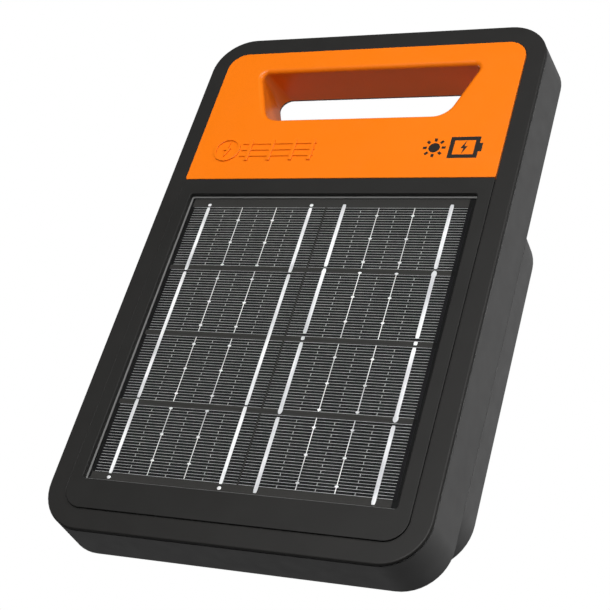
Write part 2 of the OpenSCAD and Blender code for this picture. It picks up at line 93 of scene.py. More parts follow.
# Edge fillets
RIM_EDGE, PLATE_EDGE, HAND_EDGE, TRAY_EDGE, COVER_EDGE = 0.9, 0.25, 2.5, 0.35, 1.6

# Screw bosses and holes: radii, and how deep the screws go from their seats
BOSS_R, PILOT_R, CLEAR_R, HEAD_BORE_R = 3.6, 1.5, 1.7, 3.4
COVER_SEAT, LONG_SCREW, SHORT_SCREW = 32, 18, 16

# The post channel: half width inside and outside, and its lower and upper ends
CHANNEL_HALF, CHANNEL_OUT, CHANNEL_LOW, CHANNEL_HIGH = 20, 22.6, 17.3, 192

STUD_R, TERMINAL_BORE_R, KNOB_STEPS, FLUTES = 3.0, 3.0, 160, 10


# ---- Shapes ----

def arc(x, z, r, start, sweep, steps=CORNER):
    turns = [math.radians(start + sweep * k / steps) for k in range(steps + 1)]
    return [(x + r * math.cos(a), z + r * math.sin(a)) for a in turns]


def bar(x0, z0, x1, z1):
    return [(x0, z0), (x1, z0), (x1, z1), (x0, z1)]


def rounded(o):
    """A rounded outline's shape: a function of how far it is inset."""
    def shape(d=0, y=0):
        half, bottom, top = o[0] - d, o[1] + d, o[2] - d
        low, high = max(o[3] - d, 0.05), max(o[4] - d, 0.05)
        return (arc(half - low, bottom + low, low, -90, 90)
                + arc(half - high, top - high, high, 0, 90)
                + arc(high - half, top - high, high, 90, 90)
                + arc(low - half, bottom + low, low, 180, 90))
    return shape


def inset(o, d):
    return (o[0] - d, o[1] + d, o[2] - d, o[3] - d, o[4] - d)


def hand(d=0, y=0):
    """The hand opening's outline at depth y, inset by d."""
    half, bottom, top, lean, low, high = 47.8 - 3.6 * y / TRAY_BACK, 228.6, 260.3, 0.376, 10, 3
    side = math.hypot(1, lean)
    tilt = math.degrees(math.atan(lean))
    grow = 3.0 * y / TRAY_BACK - d
    x_low = half - (side - lean) * low
    x_high = half + (top - bottom) * lean - (side + lean) * high
    right = (arc(x_low, bottom + low, low + grow, -90, 90 - tilt)
             + arc(x_high, top - high, high + grow, -tilt, 90 + tilt))
    return right + [(-x, z) for x, z in reversed(right)]


def edge(shape, y, r, into=1, hole=False, steps=5):
    """Rings round an edge fillet, from the wall to the face at depth y.

    into is 1 where the solid lies behind that face, and -1 where it lies in front.
    """
    turns = [math.pi / 2 * k / steps for k in range(steps + 1)]
    sign = -1 if hole else 1
    depths = [y + into * r * (1 - math.sin(a)) for a in turns]
    return [(shape(sign * r * (1 - math.cos(a)), depth), depth) for a, depth in zip(turns, depths)]


class Solid:
    """Points and faces of one mesh."""

    def __init__(self):
        self.points, self.faces = [], []

    def ring(self, outline, y):
        return self.path([(x, y, z) for x, z in outline])

    def path(self, points):
        first = len(self.points)
        self.points += points
        return list(range(first, len(self.points)))

    def bridge(self, a, b):
        for i in range(len(a) if len(a) > 1 else len(b)):
            quad = [a[(i - 1) % len(a)], a[i % len(a)], b[i % len(b)], b[(i - 1) % len(b)]]
            self.faces.append(list(dict.fromkeys(quad)))

    def loft(self, sections, closed=False):
        """Bridges rings given as (outline, depth), and returns them."""
        rings = [self.ring(outline, y) for outline, y in sections]
        for a, b in zip(rings, rings[1:] + rings[:1] if closed else rings[1:]):
            self.bridge(a, b)
        return rings

    def flat(self, *loops):
        """Fills the flat face inside the first loop and outside the others."""
        corners = [i for loop in loops for i in loop]
        at = [[Vector(self.points[i]) for i in loop] for loop in loops]
        self.faces += [[corners[k] for k in face] for face in tessellate_polygon(at)]

    def box(self, x0, x1, y0, y1, z0, z1):
        self.prism(bar(x0, z0, x1, z1), y0, y1)

    def prism(self, outline, y0, y1):
        front, back = self.loft([(outline, y0), (outline, y1)])
        self.faces += [front[::-1], back]

    def lathe(self, profile, x, z, closed=False, along="y", steps=48, wave=None):
        """Turns a profile of (radius, position) about an axis along Y at (x, z).

        With along="x" the axis runs along X, at depth x and height z.
        """
        rings = []
        for r, u in profile:
            points = []
            for k in range(1 if r == 0 else steps):
                a = math.tau * k / steps
                s = r - (wave(a, u) if wave else 0)
                c = (x + s * math.cos(a), z + s * math.sin(a))
                points.append((c[0], u, c[1]) if along == "y" else (u, c[0], c[1]))
            rings.append(self.path(points))
        for a, b in zip(rings, rings[1:] + rings[:1] if closed else rings[1:]):
            self.bridge(a, b)

    def mesh(self, name):
        mesh = bpy.data.meshes.new(name)
        mesh.from_pydata([(x * MM, y * MM + FRONT, z * MM) for x, y, z in self.points], [], self.faces)
        shape = bmesh.new()
        shape.from_mesh(mesh)
        bmesh.ops.recalc_face_normals(shape, faces=shape.faces)
        shape.to_mesh(mesh)
        shape.free()
        return mesh

    def object(self):
        made = bpy.data.objects.new("solid", self.mesh("solid"))
        bpy.context.scene.collection.objects.link(made)
        return made


def combine(target, others, operation):
    """Joins solids to the target, or cuts them from it, and removes them."""
    for other in others:
        step = target.modifiers.new("step", "BOOLEAN")
        step.operation, step.solver, step.object = operation, "MANIFOLD", other
    shaped = target.evaluated_get(bpy.context.evaluated_depsgraph_get())
    mesh = bpy.data.meshes.new_from_object(shaped)
    target.modifiers.clear()
    target.data = mesh
    for other in others:
        bpy.data.objects.remove(other)
    return target


def relief(loops, y0, y1, bevel=0.0):
    """A raised figure of closed loops of (x, z), from depth y1 out to y0, as a separate object."""
    curve = bpy.data.curves.new("relief", "CURVE")
    curve.dimensions, curve.fill_mode = "2D", "BOTH"
    for loop in loops:
        line = curve.splines.new("POLY")
        line.points.add(len(loop) - 1)
        line.use_cyclic_u = True
        for point, (x, z) in zip(line.points, loop):
            point.co = (x * MM, z * MM, 0, 1)
    curve.extrude = (y1 - y0) / 2 * MM - bevel * MM
    curve.bevel_depth, curve.bevel_resolution, curve.offset = bevel * MM, 3, -bevel * MM
    holder = bpy.data.objects.new("relief", curve)
    bpy.context.scene.collection.objects.link(holder)
    holder.matrix_world = (Matrix.Translation((0, (y0 + y1) / 2 * MM + FRONT, 0))
                           @ Matrix.Rotation(math.pi / 2, 4, "X"))
    bpy.context.view_layer.update()
    mesh = bpy.data.meshes.new_from_object(holder.evaluated_get(bpy.context.evaluated_depsgraph_get()))
    mesh.transform(holder.matrix_world)
    shape = bmesh.new()
    shape.from_mesh(mesh)
    bmesh.ops.remove_doubles(shape, verts=shape.verts, dist=1e-6)
    bmesh.ops.recalc_face_normals(shape, faces=shape.faces)
    shape.to_mesh(mesh)
    shape.free()
    bpy.data.objects.remove(holder)
    made = bpy.data.objects.new("relief", mesh)
    bpy.context.scene.collection.objects.link(made)
    return made


def join(name, objects):
    """One object from several separate solids."""
    shape = bmesh.new()
    for o in objects:
        shape.from_mesh(o.data)
        bpy.data.objects.remove(o)
    mesh = bpy.data.meshes.new(name)
    shape.to_mesh(mesh)
    shape.free()
    made = bpy.data.objects.new(name, mesh)
    bpy.context.scene.collection.objects.link(made)
    return made


# ---- Materials ----

NOISE_LOW, NOISE_HIGH = 0.3, 0.7        # most of a noise's values lie between these


class Paint:
    """A material and its nodes."""

    def __init__(self, name):
        self.material = bpy.data.materials.new(name)
        self.material.use_nodes = True
        self.tree = self.material.node_tree
        self.tree.nodes.clear()
        self.place = self.add("TexCoord").outputs["Object"]

    def add(self, kind, sockets=(), **settings):
        node = self.tree.nodes.new("ShaderNode" + kind)
        for key, value in settings.items():
            setattr(node, key, value)
        for key, value in dict(sockets).items():
            if isinstance(value, bpy.types.NodeSocket):
                self.tree.links.new(value, node.inputs[key])
            else:
                node.inputs[key].default_value = value
        return node

    def noise(self, size, detail=3.0, stretch=(1, 1, 1)):
        """Noise with features of that size in millimetres."""
        place = self.add("Mapping", {"Vector": self.place, "Scale": stretch}).outputs[0]
        sockets = {"Vector": place, "Scale": 1 / (size * MM), "Detail": detail}
        return self.add("TexNoise", sockets).outputs["Fac"]

    def ramp(self, value, stops):
        """Runs between two colours, each given with the value at which it is reached."""
        node = self.add("ValToRGB", {"Fac": value})
        for element, (position, colour) in zip(node.color_ramp.elements, stops):
            element.position, element.color = position, (*colour, 1)
        return node.outputs["Color"]

    def span(self, value, low, high):
        """Spreads a noise's values over low to high."""
        return self.add("MapRange", {"Value": value, "From Min": NOISE_LOW, "From Max": NOISE_HIGH,
                                     "To Min": low, "To Max": high}).outputs["Result"]

    def math(self, operation, a, b, c=0.0):
        return self.add("Math", {0: a, 1: b, 2: c}, operation=operation).outputs[0]

    def bump(self, height, distance, strength=1.0):
        sockets = {"Height": height, "Distance": distance * MM, "Strength": strength}
        return self.add("Bump", sockets).outputs["Normal"]

    def finish(self, sockets):
        shader = self.add("BsdfPrincipled", sockets)
        self.add("OutputMaterial", {"Surface": shader.outputs[0]})
        return self.material


def shade(colour, share):
    return tuple(min(1.0, c * share) for c in colour)


def moulded(name, colour, rough, grain=0.35, depth=0.012, mottle=0.06, specular=0.5):
    """Moulded plastic with a fine eroded grain, faint flow marks and slight wear in its sheen."""
    p = Paint(name)
    flow = p.noise(38, 4)
    fine = p.noise(grain, 2)
    tint = p.ramp(flow, [(0.3, shade(colour, 1 - mottle)), (0.7, shade(colour, 1 + mottle))])
    fleck = p.add("Mix", {0: p.span(fine, 0.0, 0.5), 6: tint, 7: (*shade(colour, 1.18), 1)},
                  data_type="RGBA").outputs[2]
    sheen = p.math("ADD", p.span(p.noise(9, 5), rough - 0.03, rough + 0.03), p.span(fine, -0.03, 0.03))
    return p.finish({"Base Color": fleck, "Roughness": sheen, "Specular IOR Level": specular,
                     "Normal": p.bump(fine, depth)})


def metal(name, colour, rough):
    """Bare or plated metal with fine drawn marks and a slight patina."""
    p = Paint(name)
    drawn = p.noise(1.2, 4, (1, 12, 1))
    patina = p.noise(3.5, 5)
    tint = p.ramp(patina, [(0.35, shade(colour, 0.92)), (0.65, colour)])
    return p.finish({"Base Color": tint, "Metallic": 1.0, "Normal": p.bump(drawn, 0.01),
                     "Roughness": p.span(drawn, rough - 0.07, rough + 0.09)})


def rubbery(name, colour, rough=0.7):
    """Matt rubber, foam or cable jacket with a fine uneven skin."""
    p = Paint(name)
    fine = p.noise(0.5, 4)
    tint = p.ramp(p.noise(6, 3), [(0.3, shade(colour, 0.8)), (0.7, shade(colour, 1.25))])
    return p.finish({"Base Color": tint, "Roughness": p.span(fine, rough - 0.06, rough + 0.08),
                     "Normal": p.bump(fine, 0.02)})


def hard_coat(name, tint, rough):
    """Clear hard-coated cover: what is behind shows through, with a faintly uneven reflection."""
    head_on, glancing = 0.03, 0.9       # how much it reflects straight on, and what is added at a glance
    p = Paint(name)
    smear = p.noise(14, 5)
    normal = p.bump(p.noise(6, 3), 0.02, 0.35)
    glossy = p.add("BsdfGlossy", {"Color": (1, 1, 1, 1), "Normal": normal,
                                  "Roughness": p.span(smear, rough * 0.7, rough * 1.5)})
    clear = p.add("BsdfTransparent", {"Color": (*tint, 1)})
    facing = p.add("LayerWeight", {"Blend": 0.5, "Normal": normal}).outputs["Facing"]
    level = p.math("MULTIPLY_ADD", p.math("POWER", facing, 5.0), glancing, head_on)
    mixed = p.add("MixShader", {0: level, 1: clear.outputs[0], 2: glossy.outputs[0]})
    p.add("OutputMaterial", {"Surface": mixed.outputs[0]})
    return p.material


def silicon(name):
    """Monocrystalline silicon under encapsulant: blue-black, with a faint cloudy cast."""
    p = Paint(name)
    cast = p.noise(22, 4)
    fine = p.noise(0.25, 2)
    tint = p.ramp(cast, [(0.3, (0.0065, 0.0065, 0.0072)), (0.7, (0.0115, 0.011, 0.012))])
    return p.finish({"Base Color": tint, "Roughness": p.span(fine, 0.32, 0.5),
                     "Specular IOR Level": 0.12, "Normal": p.bump(fine, 0.006)})


def tinned(name):
    """Tinned solar ribbon and silver print: bright, slightly uneven."""
    p = Paint(name)
    wave = p.noise(2.2, 4, (1, 1, 0.35))
    tint = p.ramp(p.noise(7, 4, (1, 1, 0.3)), [(0.36, (0.62, 0.62, 0.63)), (0.6, (0.95, 0.95, 0.94))])
    return p.finish({"Base Color": tint, "Metallic": 0.15, "Roughness": p.span(wave, 0.3, 0.5),
                     "Normal": p.bump(wave, 0.05)})


def printed_silver(name):
    """Screen-printed silver grid."""
    p = Paint(name)
    fine = p.noise(0.4, 3)
    tint = p.ramp(p.noise(3, 3), [(0.3, (0.34, 0.34, 0.34)), (0.7, (0.5, 0.5, 0.49))])
    return p.finish({"Base Color": tint, "Metallic": 0.1, "Roughness": p.span(fine, 0.45, 0.6)})


def circuit(name):
    """Solder-masked board with its tracks showing through the mask."""
    p = Paint(name)
    upright = p.add("Mapping", {"Vector": p.place, "Rotation": (math.pi / 2, 0, 0)}).outputs[0]
    tracks = p.add("TexBrick", {"Vector": upright, "Scale": 180.0, "Mortar Size": 0.035,
                                "Color1": (0.012, 0.07, 0.028, 1), "Color2": (0.016, 0.09, 0.035, 1),
                                "Mortar": (0.03, 0.15, 0.06, 1)}, offset=0.37)
    fine = p.noise(0.6, 3)
    return p.finish({"Base Color": tracks.outputs["Color"], "Roughness": p.span(fine, 0.28, 0.4),
                     "Normal": p.bump(tracks.outputs["Fac"], 0.03)})


def wound(name, colour, rows=0.7, axis="Z"):
    """Enamelled wire laid in close turns, with painted shade darkening the grooves between turns."""
    p = Paint(name)
    turns = p.add("TexWave", {"Vector": p.place, "Scale": 1 / (rows * MM) / 20 * math.pi,
                              "Distortion": 0.4, "Detail": 1.0}, bands_direction=axis)
    # The ramp's dark end is painted shade in the grooves between turns
    tint = p.ramp(turns.outputs["Fac"], [(0.1, shade(colour, 0.35)), (0.6, colour)])
    return p.finish({"Base Color": tint, "Metallic": 0.8, "Roughness": p.span(p.noise(2, 3), 0.25, 0.4),
                     "Normal": p.bump(turns.outputs["Fac"], 0.12)})


def sleeve(name, colour):
    """Heat-shrunk sleeve: glossy, with small pulls and a seam's sheen."""
    p = Paint(name)
    pulls = p.noise(5, 5, (1, 1, 0.25))
    tint = p.ramp(p.noise(12, 3), [(0.3, shade(colour, 0.85)), (0.7, shade(colour, 1.1))])
    return p.finish({"Base Color": tint, "Roughness": p.span(pulls, 0.18, 0.32), "Coat Weight": 0.4,
                     "Normal": p.bump(pulls, 0.1)})


def lens_plastic(name, colour):
    """Milky clear plastic that carries a lamp's light."""
    p = Paint(name)
    cloud = p.noise(2.5, 4)
    tint = p.ramp(cloud, [(0.3, shade(colour, 0.85)), (0.7, colour)])
    return p.finish({"Base Color": tint, "Roughness": p.span(cloud, 0.08, 0.2),
                     "Transmission Weight": 0.45, "IOR": 1.49, "Subsurface Weight": 0.2})


MATERIALS = {
    "frame_plastic": moulded("frame_plastic", (0.0155, 0.015, 0.0143), 0.5, specular=0.2),
    "orange_plastic": moulded("orange_plastic", (0.75, 0.161, 0.004), 0.36, 0.3, 0.004, 0.02, 0.28),
    "bezel_plastic": moulded("bezel_plastic", (0.0155, 0.0152, 0.0145), 0.48, specular=0.2),
    "clear_cover": hard_coat("clear_cover", (0.97, 0.975, 0.98), 0.05),
    "silicon": silicon("silicon"),
    "ribbon_metal": tinned("ribbon_metal"),
    "laminate_black": moulded("laminate_black", (0.008, 0.008, 0.0078), 0.4, 0.2, 0.004, 0.05, 0.1),
    "foam_black": rubbery("foam_black", (0.01, 0.01, 0.01), 0.9),
    "case_plastic": moulded("case_plastic", (0.046, 0.0455, 0.045), 0.46, specular=0.6),
    "cover_plastic": moulded("cover_plastic", (0.046, 0.0455, 0.045), 0.46, specular=0.6),
    "seal_rubber": rubbery("seal_rubber", (0.012, 0.012, 0.012)),
    "vent_plastic": moulded("vent_plastic", (0.02, 0.02, 0.02), 0.5),
    "insert_brass": metal("insert_brass", (0.72, 0.5, 0.2), 0.28),
    "board_green": circuit("board_green"),
    "ferrite": rubbery("ferrite", (0.045, 0.045, 0.05), 0.55),
    "winding_copper": wound("winding_copper", (0.72, 0.26, 0.08)),
    "capacitor_blue": sleeve("capacitor_blue", (0.03, 0.09, 0.4)),
    "inductor_ferrite": wound("inductor_ferrite", (0.55, 0.2, 0.06), 1.1, "X"),
    "chip_black": moulded("chip_black", (0.014, 0.014, 0.015), 0.4, 0.2, 0.01),
    "connector_white": moulded("connector_white", (0.74, 0.7, 0.6), 0.4, 0.3, 0.005, 0.03),
    "battery_sleeve": sleeve("battery_sleeve", (0.03, 0.17, 0.45)),
    "nickel": metal("nickel", (0.66, 0.64, 0.6), 0.25),
    "cradle_plastic": moulded("cradle_plastic", (0.62, 0.6, 0.56), 0.5, 0.4, 0.008, 0.03),
    "strap_rubber": rubbery("strap_rubber", (0.015, 0.015, 0.015)),
    "lead_red": rubbery("lead_red", (0.35, 0.014, 0.012), 0.4),
    "lead_black": rubbery("lead_black", (0.016, 0.016, 0.016), 0.4),
    "lead_fence": rubbery("lead_fence", (0.5, 0.03, 0.02), 0.4),
    "lead_green": rubbery("lead_green", (0.02, 0.22, 0.04), 0.4),
    "stud_steel": metal("stud_steel", (0.6, 0.6, 0.59), 0.27),
    "lug_brass": metal("lug_brass", (0.7, 0.55, 0.3), 0.3),
    "red_knob": moulded("red_knob", (0.52, 0.018, 0.012), 0.35, 0.3, 0.005, 0.04),
    "green_knob": moulded("green_knob", (0.012, 0.22, 0.035), 0.35, 0.3, 0.005, 0.04),
    "orange_button": moulded("orange_button", (0.75, 0.14, 0.006), 0.4, 0.3, 0.005, 0.03),
    "plunger_red": moulded("plunger_red", (0.25, 0.01, 0.01), 0.35, 0.3, 0.005, 0.04),
    "led_clear": lens_plastic("led_clear", (0.75, 0.85, 0.75)),
    "lens_clear": lens_plastic("lens_clear", (0.62, 0.8, 0.62)),
    "screw_steel": metal("screw_steel", (0.42, 0.42, 0.41), 0.33),
}
INK = moulded("ink", (0.012, 0.010, 0.008), 0.4, 0.15, 0.002)
GRID = printed_silver("grid")
# Light grey bead round the pane: the laminate's edge, coloured as a painted highlight of the glass edge
# catching light
BEAD_HIGHLIGHT = moulded("laminate_rim_painted_highlight", (0.13, 0.13, 0.128), 0.4, 0.3, 0.01)
BAND = moulded("backsheet_band", (0.034, 0.033, 0.031), 0.45, 0.3, 0.01, 0.06, 0.1)


def smooth(made, angle):
    """Smooth shading with sharp edges over that angle, and flat faces kept flat."""
    made.data.set_sharp_from_angle(angle=math.radians(angle))
    made.data.polygons.foreach_set("use_smooth", [True] * len(made.data.polygons))
    weighted = made.modifiers.new("weighted", "WEIGHTED_NORMAL")
    weighted.keep_sharp, weighted.weight = True, 100


def show(made, name, body, slot, replaces=(), material=None, angle=32):
    """Names a finished object and gives it its finish and its body."""
    made.name = made.data.name = name
    made.data.materials.clear()
    made.data.materials.append(material or MATERIALS[slot])
    smooth(made, angle)
    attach(made, body)
    if replaces:
        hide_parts(*replaces)
    return made


def rod(x, z, r, y0, y1):
    """A round rod along Y."""
    solid = Solid()
    solid.lathe([(0, y0), (r, y0), (r, y1), (0, y1)], x, z, steps=32)
    return solid.object()


def block_of(*sides):
    solid = Solid()
    solid.box(*sides)
    return solid.object()


def side_rod(r, x0, x1, z):
    """A round rod along X, at the depth of the controls on the side."""
    solid = Solid()
    solid.lathe([(0, x0), (r, x0), (r, x1), (0, x1)], SIDE_Y, z, along="x")
    return solid.object()


# ---- Front: frame, handle panel, bezel ----

def front_frame():
    rim, recess, ledge = rounded(RIM), rounded(RECESS), rounded(FRAME_LEDGE)
    spigot = rounded(inset(RIM, SPIGOT_IN))
    lip, lip_y0, lip_y1 = recess(0.42), RIM_Y + 0.25, RIM_Y + 0.8
    solid = Solid()
    solid.loft([(rim(), RIM_BACK)] + edge(rim, RIM_Y, RIM_EDGE)
               + edge(recess, RIM_Y, 0.2, hole=True)[::-1]
               + [(recess(), lip_y0), (lip, lip_y0), (lip, lip_y1), (recess(), lip_y1),
                  (recess(), PLATE_T), (ledge(), PLATE_T),
                  (ledge(), PLATE_T + 2), (spigot(SPIGOT_WALL), PLATE_T + 2),
                  (spigot(SPIGOT_WALL), FRAME_BACK), (spigot(0.2), FRAME_BACK),
                  (spigot(), FRAME_BACK - 0.2), (spigot(), RIM_BACK)], closed=True)
    shell = solid.object()
    combine(shell, [rod(x, z, BOSS_R, PLATE_T + 1, WALL_Y) for x, z in CASE_SCREWS], "UNION")
    combine(shell, [rod(x, z, PILOT_R, TRAY_BACK - LONG_SCREW, WALL_Y + 1) for x, z in CASE_SCREWS],
            "DIFFERENCE")
    show(shell, "front_frame_shell", "case", "frame_plastic", ["front_frame"])


def handle_panel():
    plate = rounded(HANDLE_PLATE)
    solid = Solid()
    outer = solid.loft([(plate(), PLATE_T)] + edge(plate, 0, PLATE_EDGE))
    wall = solid.loft(edge(hand, 0, HAND_EDGE, hole=True, steps=8)[::-1]
                      + [(hand(y=y), y) for y in (8, 14, 20, SLEEVE_END)]
                      + [(hand(-SLEEVE_WALL, y), y) for y in (SLEEVE_END, PLATE_T)])
    solid.flat(outer[-1], wall[0])
    solid.flat(outer[0], wall[-1])
    panel = solid.object()
    combine(panel, [rod(x, z, BOSS_R, PLATE_T - 1, WALL_Y) for x, z in PANEL_SCREWS] + emblem(), "UNION")
    combine(panel, [rod(x, z, PILOT_R, TRAY_BACK - SHORT_SCREW, WALL_Y + 1) for x, z in PANEL_SCREWS],
            "DIFFERENCE")
    show(panel, "handle_panel_shell", "case", "orange_plastic", ["handle_panel"])


def bolt(x, z, size):
    """A lightning bolt's outline."""
    figure = [(0.18, 1), (-0.42, -0.12), (-0.05, -0.12), (-0.18, -1), (0.42, 0.16), (0.05, 0.16)]
    return [(x + size * a, z + size * b) for a, b in figure]


def emblem():
    """A generic raised figure of a fence: posts, three wires, and a charge mark in a ring."""
    raised, sunk, left, low = -0.75, 0.6, -70, 201.5
    posts = [arc(x, low + 12.4, 0.9, 0, 180, 8) + [(x - 0.9, low), (x + 0.9, low)]
             for x in (left + 20, left + 32, left + 44, left + 54)]
    figures = [[p] for p in posts]
    mark_x, mark_z = left + 7.5, low + 7
    figures += [[arc(mark_x, mark_z, r, 0, 360, 40)[:-1] for r in (7.2, 5.9)],
                [bolt(mark_x, mark_z, 4.6)]]
    wires = [[bar(left + 15.6, low + h, left + 55.6, low + h + 0.9)] for h in (2.6, 6.4, 10.2)]
    return ([relief(f, raised, sunk, 0.18) for f in figures]
            + [relief(w, raised + 0.15, sunk, 0.15) for w in wires])


def printed_mark():
    """A generic printed figure of a battery and a sun."""
    x, z, y0, y1 = 45.5, 201.6, -0.03, 0.01
    case = [bar(x + 9, z, x + 23.4, z + 12.6), bar(x + 11.1, z + 2.1, x + 21.3, z + 10.5)]
    cap = [bar(x + 23.4, z + 3.8, x + 25, z + 8.8)]
    rays = []
    for k in range(8):
        a = math.tau * k / 8
        u, v = Vector((math.cos(a), math.sin(a))), Vector((-math.sin(a), math.cos(a)))
        at = Vector((x + 1.6, z + 6.3))
        corners = [at + u * s + v * t for s, t in ((3.7, -0.7), (5.6, -0.7), (5.6, 0.7), (3.7, 0.7))]
        rays.append([tuple(c) for c in corners])
    figures = [case, cap, [bolt(x + 16.2, z + 6.3, 3.9)], [arc(x + 1.6, z + 6.3, 2.8, 0, 360, 32)[:-1]]]
    figures += [[r] for r in rays]
    mark = join("mark", [relief(f, y0, y1) for f in figures])
    show(mark, "printed_mark", "case", "orange_plastic", material=INK)


def solar_bezel():
    plate, window, opening = rounded(BEZEL_PLATE), rounded(WINDOW), rounded(WINDOW_FLOOR)
    solid = Solid()
    solid.loft([(plate(), PLATE_T)] + edge(plate, 0, PLATE_EDGE) + edge(window, 0, 0.3, hole=True)[::-1]
               + [(window(), FLOOR_Y), (opening(), FLOOR_Y), (opening(), FLOOR_Y + FLOOR_T),
                  (window(-WALL), FLOOR_Y + FLOOR_T), (window(-WALL), PLATE_T)], closed=True)
    show(solid.object(), "solar_bezel_shell", "case", "bezel_plastic", ["solar_bezel"])


# ---- Solar panel ----

CELL_LOW, CELL_PITCH, CELL_H, CELL_T, ROWS = 28.9, 37.2, 34.6, 0.2, 4
FINGERS, FINGER_PITCH = 25, 1.42
COLUMNS = [(-71.5, -0.4), (0.4, 71.5)]
GRID_LEFT, GRID_RIGHT = -71, 70         # where the printed fingers end
RIBBONS = [[-63, -8], [9, 62.2]]
BUSBARS = [[-44.4, -26.0], [26.9, 44.6]]
DASHED = [[-53.7, -35.3, -17], [18.1, 35.8, 53.5]]
PAD_START = [[7.6, 4.3, 3.6, 0.5], [3.5, 1.1, 8.7, 3.7]]


def solar_panel():
    cells, grid, wires = Solid(), Solid(), Solid()
    for column, (x0, x1) in enumerate(COLUMNS):
        for row in range(ROWS):
            z0 = CELL_LOW + row * CELL_PITCH
            cells.prism(bar(x0, z0, x1, z0 + CELL_H), CELL_Y, CELL_Y + CELL_T)
            for k in range(FINGERS):
                z = z0 + 0.2 + FINGER_PITCH * k
                grid.box(max(x0 + 0.1, GRID_LEFT), min(x1 - 0.1, GRID_RIGHT), CELL_Y - 0.014, CELL_Y,
                         z - 0.1, z + 0.1)
                if k % 2:
                    for x in DASHED[column]:
                        grid.box(x - 0.16, x + 0.16, CELL_Y - 0.018, CELL_Y, z - FINGER_PITCH, z)
            for x in BUSBARS[column]:
                wires.box(x - 0.2, x + 0.2, CELL_Y - 0.03, CELL_Y, z0 + 0.2, z0 + CELL_H - 0.2)
                for k in range(3):
                    at = z0 + PAD_START[column][row] + 13.1 * k
                    wires.prism([(x + 0.9 * math.cos(a), at + 0.55 * math.sin(a))
                                 for a in [math.tau * s / 12 for s in range(12)]], CELL_Y - 0.06, CELL_Y)

    # The backsheet between the cells, and above and below them
    bands = Solid()
    for row in range(ROWS + 1):
        z1 = CELL_LOW + row * CELL_PITCH
        z0 = z1 - CELL_PITCH + CELL_H
        if row < ROWS:
            bands.box(-0.3, 0.3, CELL_Y + 0.02, CELL_Y + CELL_T, z1 + 0.1, z1 + CELL_H - 0.1)
        bands.box(GRID_LEFT - 1.2, GRID_RIGHT, CELL_Y + 0.02, CELL_Y + CELL_T,
                  z0 + 0.1 if row else z0 - 1, z1 - 0.1 if row < ROWS else z1 + 2.4)
    show(bands.object(), "backsheet_bands", "case", "laminate_black", material=BAND)
    show(cells.object(), "solar_wafers", "case", "silicon", ["solar_cells"])
    show(grid.object(), "cell_grid", "case", "ribbon_metal", material=GRID)
    show(wires.object(), "cell_busbars", "case", "ribbon_metal")

    ribbons = Solid()
    for x in RIBBONS[0]:
        for z0, z1 in ((28.5, 66.2), (67, 136.5), (137.5, 174.8)):
            strip(ribbons, x, z0, z1, 0.85)
        for z in (26.6, 176.3):
            blob(ribbons, x, z, 0.95, 0.85)
    for x in RIBBONS[1]:
        for z0, z1 in ((26, 62.2), (64, 100.2), (101.5, 103.3), (105, 140), (141.3, 176.8)):
            strip(ribbons, x, z0, z1, 0.9)
        for z in (65.6, 138.4):
            blob(ribbons, x, z, 1.25 if x > 50 else 1.05, 1.9)
    show(ribbons.object(), "tinned_ribbons", "case", "ribbon_metal", ["cell_ribbons"])

    cover = rounded(inset(WINDOW, 0.6))
    glass = Solid()
    front = edge(cover, GLASS_Y, 0.12, steps=2)
    rings = glass.loft([(cover(), RIBBON_Y - 0.02)] + front)
    glass.faces += [rings[0], rings[-1][::-1]]
    pane = show(glass.object(), "clear_cover", "case", "clear_cover", ["panel_glass"])
    pane.visible_shadow = False

    # The laminate's bead round the pane, coloured light grey as a painted highlight of the glass edge,
    # and a little narrower on the right
    rim = Solid()
    bead = [(x + 0.25 if x > 0 else x, z) for x, z in cover(0.5)]
    rim.loft([(bead, GLASS_Y - 0.03), (cover(-0.5), GLASS_Y - 0.03), (cover(-0.5), GLASS_Y + 0.6),
              (cover(-0.05), GLASS_Y + 0.6), (cover(-0.05), GLASS_Y - 0.01), (bead, GLASS_Y - 0.01)],
             closed=True)
    show(rim.object(), "laminate_rim_painted_highlight", "case", "clear_cover", material=BEAD_HIGHLIGHT)


def strip(solid, x, z0, z1, half):
    """A flat tinned ribbon with slightly uneven edges."""
    steps = max(2, round((z1 - z0) / 1.2))
    rings = []
    for k in range(steps + 1):
        z = z0 + (z1 - z0) * k / steps
        end = 0.75 if k in (0, steps) else 1
        w = half * end * (1 + 0.05 * noise.noise((x, z * 0.5, 0)))
        t = 0.085 + 0.012 * noise.noise((x, z * 0.9, 4))
        section = [(-w, 0), (-w, t * 0.6), (-w * 0.8, t), (w * 0.8, t), (w, t * 0.6), (w, 0)]
        rings.append(solid.path([(x + a, CELL_Y - b, z) for a, b in section]))
    for a, b in zip(rings, rings[1:]):
        solid.bridge(a, b)
    solid.faces += [rings[0], rings[-1][::-1]]


def blob(solid, x, z, half, length):
    """A flattened bead of solder on a ribbon."""
    steps, rings = 16, []
    for k in range(4):
        a = math.pi / 2 * k / 4
        s, depth = math.cos(a), CELL_Y - 0.095 * math.sin(a)
        rings.append(solid.path([(x + half * s * math.cos(t), depth, z + length * s * math.sin(t))
                                 for t in [math.tau * i / steps for i in range(steps)]]))
    for a, b in zip(rings, rings[1:]):
        solid.bridge(a, b)
    solid.faces += [rings[0], rings[-1][::-1]]


# ---- Case ----

